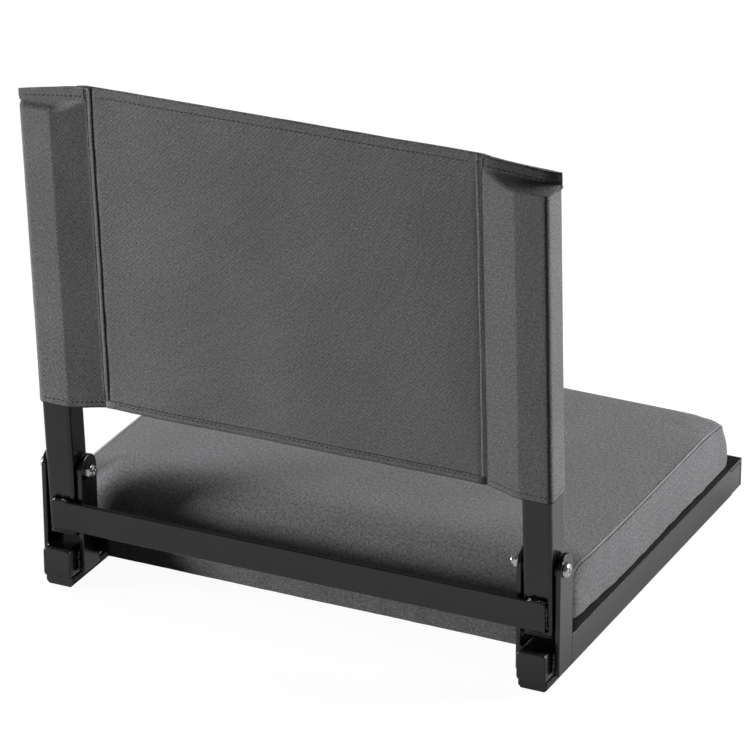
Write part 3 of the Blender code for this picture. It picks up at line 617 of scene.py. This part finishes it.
def sling_grid():
    """Rows of (point, outward normal) in the back's frame, the whole section, and its unrolled lengths."""
    half = half_section(HEM_END_LEFT)
    mirrored = [((-full[0], full[1]), (-flat[0], flat[1]), share, kind)
                for full, flat, share, kind in half_section(HEM_END_RIGHT)]
    section = list(reversed(mirrored)) + half[1:]
    unrolled = [0.0]
    for (a, _, _, _), (b, _, _, _) in zip(section, section[1:]):
        unrolled.append(unrolled[-1] + math.dist(a, b))
    normals = []
    for i in range(len(section)):
        a = Vector(section[max(0, i - 1)][0])
        b = Vector(section[min(len(section) - 1, i + 1)][0])
        run = (b - a).normalized()
        normals.append(Vector((run.y, -run.x)))
    rows = []
    for height, fold in row_heights():
        above = clamp((height - TUBE_END) / (SLING_TOP - TUBE_END))
        above_right = clamp((height - TUBE_END) / (SLING_TOP - TOP_HEM - TUBE_END))
        below = 1 - clamp((height - SLING_BOTTOM) / 0.04)
        row = []
        for (full, flat, share, kind), normal in zip(section, normals):
            fill = sleeve_fill(height, share)
            depth = fill ** (FLATTEN_LEFT if full[0] > 0 else FLATTEN_RIGHT)
            x, y = mix(flat[0], full[0], depth ** 0.5), mix(flat[1], full[1], depth)
            if full[0] > 0 and full[1] > 0:
                y -= LEFT_DENT * fill ** 2 * (1 - fill) * smooth(share * 2)
            outermost = clamp((abs(full[0]) - UPRIGHT_X) / SLEEVE_OUT * 8 - 7)
            beside = outermost * clamp(1 - (full[1] / SLEEVE_OUT) ** 2)
            corner = clamp((full[1] - 0.006) / 0.006) * clamp(share * 5 - 4)
            x += math.copysign((CORNER_BULGE * corner - SIDE_HOLLOW * beside) * depth * (1 - depth), x)
            sunk = above if full[0] > 0 else above_right
            h = height - SLEEVE_DROOP * share * sunk - SLEEVE_DROP * smooth(share * 2) * below
            rearward = full[1] > 0 and kind == "sleeve"
            side = Vector((0, 1 if rearward else -1)).lerp(normal, depth).normalized()
            if kind == "lip":
                side = normal
            push = 0.0
            if kind == "panel":
                push = HEM_FOLD * (-1 if fold < 0 else 1) * abs(fold)
                ripple = noise.noise(Vector((x * 11, h * 7, 0.3))) * PANEL_RIPPLE
                edge = math.exp(-(h - SLING_BOTTOM) / 0.02) + math.exp(-(SLING_TOP - h) / 0.02)
                ripple += noise.noise(Vector((x * 60, 0.5, 7.1))) * HEM_RIPPLE * edge
                push += ripple * smooth((SEAM_X - abs(x)) / 0.02)
            elif kind == "sleeve":
                push = -SLEEVE_FOLD * abs(fold)
                loose = 1 - depth if height > TUBE_END else 0.25
                wrinkle = noise.noise(Vector((x * 70, h * 55, y * 70 + 2.2)))
                push += wrinkle * SLEEVE_RIPPLE * loose * smooth(share * 4)
                mouth = math.exp(-(h - SLING_BOTTOM + 0.003) / 0.012)
                push += (MOUTH_FLARE + MOUTH_FLARE * noise.noise(Vector((x * 90, y * 90, 4.0)))) * mouth
            else:
                push = noise.noise(Vector((x * 9, h * 90, 1.7))) * 0.0002
                x += noise.noise(Vector((x * 9, h * 28, 6.1))) * 0.0006
            row.append((Vector((x + side.x * push, y + side.y * push, h)), Vector((side.x, side.y, 0))))
        rows.append(row)
    return rows, section, unrolled


def make_sling():
    rows, section, unrolled = sling_grid()
    heights = row_heights()
    wide = len(section)
    points = [back_place @ p for row in rows for p, _ in row]
    faces = []
    for r in range(len(rows) - 1):
        for c in range(wide - 1):
            a = r * wide + c
            faces.append((a, a + 1, a + wide + 1, a + wide))
    sling = new_piece("canvas_sling", points, faces, sling_cloth)
    lengths = [0.0]
    for a, b in zip(heights, heights[1:]):
        lengths.append(lengths[-1] + max(0.0008, abs(b[0] - a[0])))
    lay_cloth(sling, lambda v: (unrolled[v % wide], lengths[v // wide]))
    thicken(sling, CLOTH)

    turn = back_place.to_3x3()

    def line(cells, sign):
        made = []
        for r, c in cells:
            p, n = rows[r][c]
            n = n * sign
            made.append((back_place @ (p + n * (CLOTH / 2)), turn @ n))
        return made

    top_row = next(i for i, row in enumerate(heights) if row == (SLING_TOP - TOP_STITCH, 0.0))
    mouth_row = next(i for i, row in enumerate(heights) if row == (SLING_BOTTOM + MOUTH_STITCH, 0.0))
    fold_row = next(i for i, row in enumerate(heights) if row == (SLING_BOTTOM + MOUTH_STITCH, -1.0))
    panel = [i for i, cell in enumerate(section) if cell[3] == "panel"]
    sleeves = [i for i, cell in enumerate(section) if cell[3] == "sleeve"]
    left = [i for i in sleeves if i > panel[-1]]
    right = [i for i in sleeves if i < panel[0]]
    seams = (left[-1], right[0])
    lines = [line([(top_row, c) for c in panel[1:-1]], -1), line([(top_row, c) for c in panel[1:-1]], 1),
             line([(fold_row, c) for c in panel[1:-1]], -1), line([(mouth_row, c) for c in panel[1:-1]], 1)]
    for side in (left, right):
        lines.append(line([(top_row, c) for c in side], 1))
        lines.append(line([(mouth_row, c) for c in side], 1))
    main_rows = [i for i, row in enumerate(heights) if row[1] == 0.0]
    stitches = sew(lines, "sling_hem_stitches", HEM_PITCH, HEM_THREAD)
    seam_lines = [line([(r, c) for r in main_rows], 1) for c in seams]
    seam_stitches = sew(seam_lines, "sling_seam_stitches", SEAM_PITCH, SEAM_THREAD, hole=0.0006)
    for piece in (sling, stitches, seam_stitches):
        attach(piece, "back")
    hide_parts("sling")


# Cushion

def seat_profile():
    """The cushion's long profile, rear foot to front foot: (share along, height), and its run in metres."""
    path = rounded([(-SEAT_LONG, SEAT_FLOOR, 0), (-SEAT_LONG, SEAT_SEAM_Z, REAR_ROUND),
                    (SEAT_LONG, SEAT_SEAM_Z, FRONT_ROUND), (SEAT_LONG, SEAT_FLOOR, 0)],
                   spacing=0.0052, steps=10)
    return [(p.x / SEAT_LONG, p.y) for p in path], run_of(path)


def rise_of(profile, j):
    """The profile's outward direction at one of its points: (forward, up)."""
    a, b = profile[max(0, j - 1)], profile[min(len(profile) - 1, j + 1)]
    out = Vector((a[1] - b[1], (b[0] - a[0]) * SEAT_LONG)).normalized()
    return out.x, out.y


def round_corner(spot):
    """Draws a point in so that the cushion's corners are round when seen from above, more so at the top."""
    up = smooth((spot.z - CORNER_FROM_Z) / (SEAT_SEAM_Z - CORNER_FROM_Z))
    half = mix(FOOT_HALF, SEAM_HALF - SEAM_DRAW, up)
    for end, radii in ((1, FRONT_CORNER), (-1, REAR_CORNER)):
        edge = PIVOT_Y - SEAT_MIDDLE - end * SEAT_LONG
        radius = mix(*radii, up)
        out = Vector((abs(spot.x) - half + radius, radius - end * (spot.y - edge)))
        if min(out) > 0:
            out *= max(out) / out.length
            spot.x = math.copysign(half - radius + out.x, spot.x)
            spot.y = edge + end * (radius - out.y)


def corner_calm(x, y):
    """1 at the cushion's front corners, where the filling gives way, and 0 away from them."""
    return clamp((abs(x) - CALM_X) / 0.0265) ** 3 * smooth((CALM_Y - y) / 0.045)


def edge_fall(spot):
    """How far the cover's edge sinks: at the front corners and along the left seam."""
    rise = clamp((spot.z - SEAT_FLOOR) / (SEAT_SEAM_Z - SEAT_FLOOR))
    fall = CORNER_FALL * corner_calm(spot.x, spot.y) + LEFT_SEAM_FALL * smooth((spot.x - CALM_X) / 0.026)
    return fall * rise


def seat_cage():
    """The cover before it is filled: points, faces and their kinds, pinned points, places on the cloth,
    the points of each seam and those in the row below it."""
    profile, run = seat_profile()
    last = len(profile) - 1
    wide = 80
    side_shares = (0.0, 0.045, 0.10, 0.20, 0.32, 0.45, 0.60, 0.75, 0.88, 1.0)
    side_rows = len(side_shares) - 1
    index, points, pinned, cloth = {}, [], set(), {}

    def add(key, point, pin, spot):
        index[key] = len(points)
        points.append(point)
        cloth[index[key]] = spot
        if pin:
            pinned.add(index[key])

    def foot_width(along):
        return FOOT_HALF - FOOT_DRAW * clamp(-along) ** 3

    for j, (along, height) in enumerate(profile):
        rise = (height - SEAT_FLOOR) / (SEAT_SEAM_Z - SEAT_FLOOR)
        half = mix(foot_width(along), SEAM_HALF - SEAM_DRAW * along ** 2, rise ** 1.6)
        for i in range(wide + 1):
            across = math.sin(math.pi / 2 * (2 * i / wide - 1)) * 0.35 + (2 * i / wide - 1) * 0.65
            draw = REAR_DRAW * across ** 4 * clamp(-along * 2)
            y = PIVOT_Y - (SEAT_MIDDLE + along * (SEAT_LONG - draw))
            at_edge = i in (0, wide) or j in (0, last)
            inward = 1 - math.exp(-(1 - abs(across)) * half / PILLOW_REACH)
            ends = smooth(min(run[j], run[-1] - run[j]) / 0.055)
            lift = PILLOW_RISE * inward * ends
            outward = rise_of(profile, j)
            crown = SEAT_CROWN * (1 - across ** 2) * (1 - along ** 4) * rise ** 2
            spot = Vector((across * half, y - outward[0] * lift, height + outward[1] * lift + crown))
            add(("top", i, j), spot, at_edge, (across * half, run[j]))
    for hand, edge in ((-1, 0), (1, wide)):
        for j in range(1, last):
            seam = points[index["top", edge, j]]
            first, final = points[index["top", edge, 0]], points[index["top", edge, last]]
            foot = first.lerp(final, run[j] / run[-1])
            foot.x = hand * foot_width(2 * run[j] / run[-1] - 1)
            for k in range(1, side_rows + 1):
                spot = seam.lerp(foot, side_shares[k])
                spot.x += hand * SIDE_BULGE * math.sin(math.pi * side_shares[k])
                add(("side", edge, j, k), spot, k == side_rows, (spot.y + 3.1, spot.z + 1.3))
    for spot in points:
        round_corner(spot)
        spot.z -= edge_fall(spot)

    def side(edge, j, k):
        return index["top", edge, j] if k == 0 or j in (0, last) else index["side", edge, j, k]

    faces, kinds = [], []

    def quad(corners, kind):
        ring = [c for n, c in enumerate(corners) if c not in corners[:n]]
        if len(ring) > 2:
            faces.append(tuple(ring))
            kinds.append(kind)

    for j in range(last):
        for i in range(wide):
            quad([index["top", i + a, j + b] for a, b in ((0, 0), (0, 1), (1, 1), (1, 0))], "top")
        for edge in (0, wide):
            for k in range(side_rows):
                ring = [side(edge, j + a, k + b) for a, b in ((0, 0), (1, 0), (1, 1), (0, 1))]
                quad(ring if edge == wide else ring[::-1], "side")
    rear = [index["top", i, 0] for i in range(wide + 1)]
    front = [index["top", i, last] for i in range(wide + 1)]
    right = [side(0, j, side_rows) for j in range(1, last)]
    left = [side(wide, j, side_rows) for j in range(1, last)]
    faces.append(tuple(rear + left + front[::-1] + right[::-1]))
    kinds.append("under")
    seams = [[index["top", edge, j] for j in range(last + 1)] for edge in (0, wide)]
    below = [[side(edge, j, 1) for j in range(last + 1)] for edge in (0, wide)]
    return points, faces, kinds, sorted(pinned), cloth, seams, below


def fill_cushion(piece, pinned):
    """Blows the cover up over its foam and keeps the swollen shape."""
    mesh = piece.data
    rest = [v.co.copy() for v in mesh.vertices]
    held = piece.vertex_groups.new(name="sewn and stapled edges")
    held.add(pinned, 1.0, "REPLACE")
    cloth = piece.modifiers.new("filling", "CLOTH")
    wish = cloth.settings
    wish.quality = 6
    wish.mass = 0.3
    wish.tension_stiffness = wish.compression_stiffness = 18
    wish.shear_stiffness = 8
    wish.bending_stiffness = 0.6
    wish.use_pressure = True
    wish.uniform_pressure_force = FILL_PRESSURE
    wish.vertex_group_mass = held.name
    wish.effector_weights.gravity = 0.0
    cloth.point_cache.frame_start = 1
    cloth.point_cache.frame_end = 20
    scene = bpy.context.scene
    for step in range(1, 21):
        scene.frame_set(step)
    graph = bpy.context.evaluated_depsgraph_get()
    swollen = piece.evaluated_get(graph).to_mesh()
    moved = [v.co.copy() for v in swollen.vertices]
    piece.evaluated_get(graph).to_mesh_clear()
    piece.modifiers.remove(cloth)
    scene.frame_set(1)
    for v, start, end in zip(mesh.vertices, rest, moved):
        shift = end - start
        limit = SWELL_LIMIT * (1 - 0.8 * corner_calm(start.x, start.y))
        if shift.length > 1e-9:
            v.co = start + shift.normalized() * limit * math.tanh(shift.length / limit)
    mesh.update()


def make_cushion():
    points, faces, kinds, pinned, cloth, seams, below = seat_cage()
    cushion = new_piece("seat_cushion", points, faces, seat_cloth)
    fill_cushion(cushion, pinned)
    lay_cloth(cushion, lambda v: cloth[v])
    mesh = cushion.data
    lifts = {}
    for v in mesh.vertices:
        p = v.co
        soft = noise.noise(Vector((p.x * 9, p.y * 9, p.z * 12))) * 0.0006
        near = min(abs(SEAM_HALF - abs(p.x)), 0.05)
        soft += noise.noise(Vector((p.x * 20, p.y * 75, p.z * 75))) * 0.0007 * math.exp(-near / 0.010)
        lifts[v.index] = v.normal * soft
    sewn = set(i for seam in seams for i in seam)
    for v in mesh.vertices:
        if v.index not in sewn:
            v.co += lifts[v.index]
    mesh.update()
    seam_lines = [[(mesh.vertices[i].co.copy(), mesh.vertices[i].normal.copy()) for i in seam]
                  for seam in seams]
    stitch_lines = []
    for row in below:
        spots = [mesh.vertices[i].co.copy() for i in row[4:-9]]
        stitch_lines.append([(p, Vector((1 if p.x > 0 else -1, 0, 0.25)).normalized()) for p in spots])

    work = bmesh.new()
    work.from_mesh(mesh)
    work.faces.ensure_lookup_table()
    under = [face for face, kind in zip(work.faces, kinds) if kind == "under"]
    bmesh.ops.delete(work, geom=under, context="FACES_ONLY")
    work.to_mesh(mesh)
    work.free()
    round_off = cushion.modifiers.new("finer cloth", "SUBSURF")
    round_off.levels = round_off.render_levels = 1

    welts = new_welts([line[1:-6] for line in seam_lines])
    stitches = sew(stitch_lines, "seat_stitches", SEAT_PITCH, SEAT_THREAD, filled=0.45, hole=0.0012)
    for piece in (cushion, welts, stitches):
        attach(piece, "base")
        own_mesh(piece)
    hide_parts("seat_cover", "seat_foam")


def make_rear_skirt():
    """The cover's cloth over the rear rail, with soft upright creases and its lower edge turned under."""
    low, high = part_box("rear_rail")
    half, wide = SKIRT_HALF, 120
    path = rounded([(high.y - 0.0006, high.z + 0.0034, 0), (high.y + 0.0014, high.z - 0.0030, 0.004),
                    (high.y + 0.0015, low.z - 0.0010, 0.0015), (high.y - 0.0040, low.z - 0.0010, 0)],
                   spacing=0.0022, steps=4)
    run = run_of(path)
    points, spots = [], []
    for p, travelled in zip(path, run):
        for i in range(wide + 1):
            x = half * (2 * i / wide - 1)
            hang = smooth(travelled / 0.006) * smooth((run[-1] - travelled) / 0.006)
            crease = noise.noise(Vector((x * 34, travelled * 9, 3.3)))
            crease += 0.5 * noise.noise(Vector((x * 85, 2.0, 8.1)))
            points.append((x, p.x + (SKIRT_STAND + SKIRT_CREASE * crease) * hang, p.y))
            spots.append((x, travelled))
    faces = []
    for n in range(len(path) - 1):
        for i in range(wide):
            a = n * (wide + 1) + i
            faces.append((a, a + wide + 1, a + wide + 2, a + 1))
    skirt = new_piece("seat_rear_skirt", points, faces, seat_cloth)
    lay_cloth(skirt, lambda v: spots[v])
    thicken(skirt, SKIRT_CLOTH)
    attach(skirt, "base")


def new_welts(lines, sides=8):
    """The folded edge of the top panel, standing as a thin roll along each side seam; lighter than the seat
    cloth, as painted highlight.
    """
    points, faces, spots = [], [], []
    for line in lines:
        first = len(points)
        travelled = 0.0
        for n, (p, normal) in enumerate(line):
            ahead = (line[min(n + 1, len(line) - 1)][0] - line[max(n - 1, 0)][0]).normalized()
            out = (normal - ahead * normal.dot(ahead)).normalized()
            beside = ahead.cross(out)
            travelled += (p - line[max(n - 1, 0)][0]).length
            size = ROLL_RADIUS * (LEFT_ROLL if p.x > 0 else 1.0) * (1 + 0.2 * noise.noise(p * 90)) * clamp(
                min((n + 0.3) / 5, (len(line) - 1 - n + 0.3) / 14))
            for k in range(sides):
                turn = 2 * math.pi * k / sides
                points.append(p + (out * math.cos(turn) + beside * math.sin(turn)) * size)
                spots.append((travelled, turn * ROLL_RADIUS))
        faces += tube_faces(first, len(line), sides)
    # Painted highlight: the rolls take the lighter copy of the seat cloth.
    welts = new_piece("seat_seam_rolls", points, faces, seat_roll_cloth_painted_highlight)
    lay_cloth(welts, lambda v: spots[v])
    return welts


# Welds and hinge bolts

def weld_beads(name, runs, body):
    """Rippled weld beads along straight runs of (start, end, radius)."""
    points, faces = [], []
    sides = 10
    for start, end, radius in runs:
        start, end = Vector(start), Vector(end)
        length = (end - start).length
        ahead = (end - start).normalized()
        beside = ahead.orthogonal().normalized()
        up = ahead.cross(beside)
        steps = max(6, round(length / WELD_STEP))
        first = len(points)
        for n in range(steps + 1):
            share = n / steps
            p = start.lerp(end, share)
            ripple = 0.84 + 0.16 * math.cos(2 * math.pi * share * length / WELD_PITCH)
            tip = math.sqrt(max(0.05, 1 - (2 * share - 1) ** 8))
            drift = beside * noise.noise(p * 240) * WELD_DRIFT
            drift += up * noise.noise(p * 240 + Vector((5, 1, 2))) * WELD_DRIFT
            for k in range(sides):
                turn = 2 * math.pi * k / sides
                spoke = beside * math.cos(turn) + up * math.sin(turn)
                lump = 1 + 0.50 * noise.noise((p + spoke * radius) * 420)
                points.append(p + drift + spoke * radius * ripple * tip * lump)
        faces += tube_faces(first, steps + 1, sides)
    beads = new_piece(name, points, faces, weld_paint)
    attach(beads, body)


def make_welds():
    back_runs, base_runs = [], []
    for hand in (-1, 1):
        x = hand * UPRIGHT_X
        for a, b, radius in (((x - 0.0085, 0.0147, -0.0238), (x + 0.0072, 0.0147, -0.0240), 0.0021),
                             ((hand * 0.2200, 0.0138, -0.0262), (hand * 0.2200, 0.0138, -0.0486), 0.0015),
                             ((x - 0.0095, 0.0140, -0.0508), (x + 0.0070, 0.0140, -0.0508), 0.0015)):
            back_runs.append((back_place @ Vector(a), back_place @ Vector(b), radius))
        for gap_x in (0.2256, 0.1984):
            for y in (PIVOT_Y + 0.0096, PIVOT_Y - 0.0140):
                base_runs.append(((hand * gap_x, y, 0.0128), (hand * gap_x, y, 0.0322), 0.0018))
    weld_beads("back_weld_beads", back_runs, "back")
    weld_beads("base_weld_beads", base_runs, "base")


def turned(profile, steps=40):
    """A shape turned about x from (x, radius) pairs."""
    points = []
    for x, radius in profile:
        for k in range(steps):
            turn = 2 * math.pi * k / steps
            points.append((x, radius * math.cos(turn), radius * math.sin(turn)))
    return points, tube_faces(0, len(profile), steps)


def make_bolt(side, hand):
    """A pan-headed bolt with a cross recess and a threaded end, in place of the plain solid bolt."""
    low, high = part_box("hinge_bolt_" + side)
    outside = high.x if hand > 0 else -low.x
    tail = low.x if hand > 0 else -high.x
    seat = HALF_WIDTH + 0.0002
    thread = [(seat, BOLT_RADIUS)]
    x, out = THREAD_FROM, True
    while x > tail + 0.0008:
        thread.append((x, BOLT_RADIUS if out else THREAD_ROOT))
        x, out = x - HALF_PITCH, not out
    thread.append((tail, 0.0022))
    head = [(seat, 0.0063), (seat + 0.0012, 0.0063), (outside - 0.0016, 0.0058), (outside - 0.0006, 0.0048),
            (outside - 0.0002, 0.0036), (outside, 0.0018)]
    points, faces = turned(list(reversed(thread)) + head)
    bolt = new_piece("pan_head_bolt_" + side, points, faces, zinc_plate)
    arms = []
    for long, wide in ((RECESS_LONG, RECESS_WIDE), (RECESS_WIDE, RECESS_LONG)):
        top = [Vector((outside + 0.0005, a * long, b * wide))
               for a, b in ((-1, -1), (1, -1), (1, 1), (-1, 1))]
        floor = [Vector((outside - RECESS_DEEP, p.y * 0.55, p.z * 0.55)) for p in top]
        cutter = new_piece("recess", top + floor, [
            (0, 3, 2, 1), (4, 5, 6, 7), (0, 1, 5, 4), (1, 2, 6, 5), (2, 3, 7, 6), (3, 0, 4, 7)])
        shell = bmesh.new()
        shell.from_mesh(cutter.data)
        bmesh.ops.recalc_face_normals(shell, faces=shell.faces)
        shell.to_mesh(cutter.data)
        shell.free()
        cut = bolt.modifiers.new("recess", "BOOLEAN")
        cut.object = cutter
        cut.operation = "DIFFERENCE"
        cut.solver = "EXACT"
        arms.append(cutter)
    bake(bolt)
    for cutter in arms:
        bpy.data.objects.remove(cutter)
    turn = Matrix.Rotation(RECESS_TURN, 4, "X")
    if hand < 0:
        turn = Matrix.Rotation(math.pi, 4, "Z") @ turn
    bolt.data.transform(Matrix.Translation((0, PIVOT_Y, PIVOT_Z)) @ turn)
    bolt.data.set_sharp_from_angle(angle=math.radians(35))
    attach(bolt, "base")
    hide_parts("hinge_bolt_" + side)


make_sling()
make_cushion()
make_rear_skirt()
make_welds()
make_bolt("left", 1)
make_bolt("right", -1)


# Studio

def seen_and_mirrored(tree):
    """Two masks: 1 for what the camera sees, and 1 for what shiny surfaces mirror."""
    rays = place(tree, "ShaderNodeLightPath").outputs
    return rays["Is Camera Ray"], calc(tree, "MAXIMUM", rays["Is Glossy Ray"], rays["Is Transmission Ray"])


def beside_chair(tree):
    """1 on the floor below and close beside the chair, in its own shade, and 0 further off."""
    where = place(tree, "ShaderNodeNewGeometry").outputs["Position"]
    split = place(tree, "ShaderNodeSeparateXYZ", {0: where})
    shares = []
    for axis, near, far in ((0, HALF_WIDTH, HALF_WIDTH + 0.070), (1, 0.190, 0.260)):
        away = place(tree, "ShaderNodeMapRange", {
            0: calc(tree, "ABSOLUTE", split.outputs[axis]), 1: near, 2: far, 3: 1.0, 4: 0.0},
            interpolation_type="SMOOTHSTEP")
        shares.append(away.outputs[0])
    return calc(tree, "MULTIPLY", *shares)


def make_world():
    world = bpy.data.worlds.new("white studio")
    bpy.context.scene.world = world
    world.use_nodes = True
    tree = world.node_tree
    tree.nodes.clear()
    seen, mirrored = seen_and_mirrored(tree)
    dim = calc(tree, "MULTIPLY_ADD", mirrored, WORLD_MIRRORED, WORLD_FILL)
    white = place(tree, "ShaderNodeBackground", {
        "Color": (1, 1, 1, 1), "Strength": calc(tree, "MAXIMUM", seen, dim)})
    output = tree.nodes.new("ShaderNodeOutputWorld")
    tree.links.new(white.outputs[0], output.inputs["Surface"])


def make_floor():
    corners = [(a * FLOOR_HALF, b * FLOOR_HALF, -FLOOR_DROP) for a, b in ((-1, -1), (1, -1), (1, 1), (-1, 1))]
    floor = new_piece("studio_floor", corners, [(0, 1, 2, 3)])
    made = bpy.data.materials.new("white studio floor")
    made.use_nodes = True
    tree = made.node_tree
    tree.nodes.clear()
    paper = place(tree, "ShaderNodeBsdfDiffuse", {"Color": (FLOOR_GREY, FLOOR_GREY, FLOOR_GREY, 1)})
    seen, mirrored = seen_and_mirrored(tree)
    # Painted shade: the glow that shiny surfaces mirror is dimmed on the floor below and beside the chair.
    shaded = calc(tree, "MULTIPLY", mirrored, calc(
        tree, "MULTIPLY_ADD", beside_chair(tree), -FLOOR_SHADE, 1.0))
    glow = place(tree, "ShaderNodeEmission", {
        "Color": (1, 1, 1, 1),
        "Strength": calc(tree, "MULTIPLY", calc(tree, "MAXIMUM", seen, shaded), FLOOR_GLOW)})
    both = place(tree, "ShaderNodeAddShader", {0: paper.outputs[0], 1: glow.outputs[0]})
    from_below = place(tree, "ShaderNodeNewGeometry").outputs["Backfacing"]
    clear = place(tree, "ShaderNodeBsdfTransparent")
    surface = place(tree, "ShaderNodeMixShader", {0: from_below, 1: both.outputs[0], 2: clear.outputs[0]})
    output = tree.nodes.new("ShaderNodeOutputMaterial")
    tree.links.new(surface.outputs[0], output.inputs["Surface"])
    floor.data.materials.append(made)


def add_softbox(name, location, target, size, power):
    light = bpy.data.lights.new(name, "AREA")
    light.shape = "RECTANGLE"
    light.size, light.size_y = size
    light.energy = power
    lamp = bpy.data.objects.new(name, light)
    lamp.location = location
    lamp.rotation_euler = (Vector(target) - Vector(location)).to_track_quat("-Z", "Y").to_euler()
    lamp.visible_camera = False
    bpy.context.scene.collection.objects.link(lamp)


def add_camera():
    right = Vector(CAMERA_RIGHT)
    forward = Vector(CAMERA_FORWARD).normalized()
    right = (right - forward * right.dot(forward)).normalized()
    up = right.cross(forward)
    camera = bpy.data.cameras.new("photo view")
    camera.lens = CAMERA_LENS
    camera.sensor_width = 36
    camera.clip_start, camera.clip_end = 0.1, 50
    holder = bpy.data.objects.new("photo view", camera)
    holder.matrix_world = Matrix.Translation(CAMERA_PLACE) @ Matrix(
        (right, up, -forward)).transposed().to_4x4()
    bpy.context.scene.collection.objects.link(holder)
    bpy.context.scene.camera = holder


make_world()
make_floor()
for softbox in SOFTBOXES:
    add_softbox(*softbox)
add_camera()
bpy.context.scene.view_settings.view_transform = "Standard"
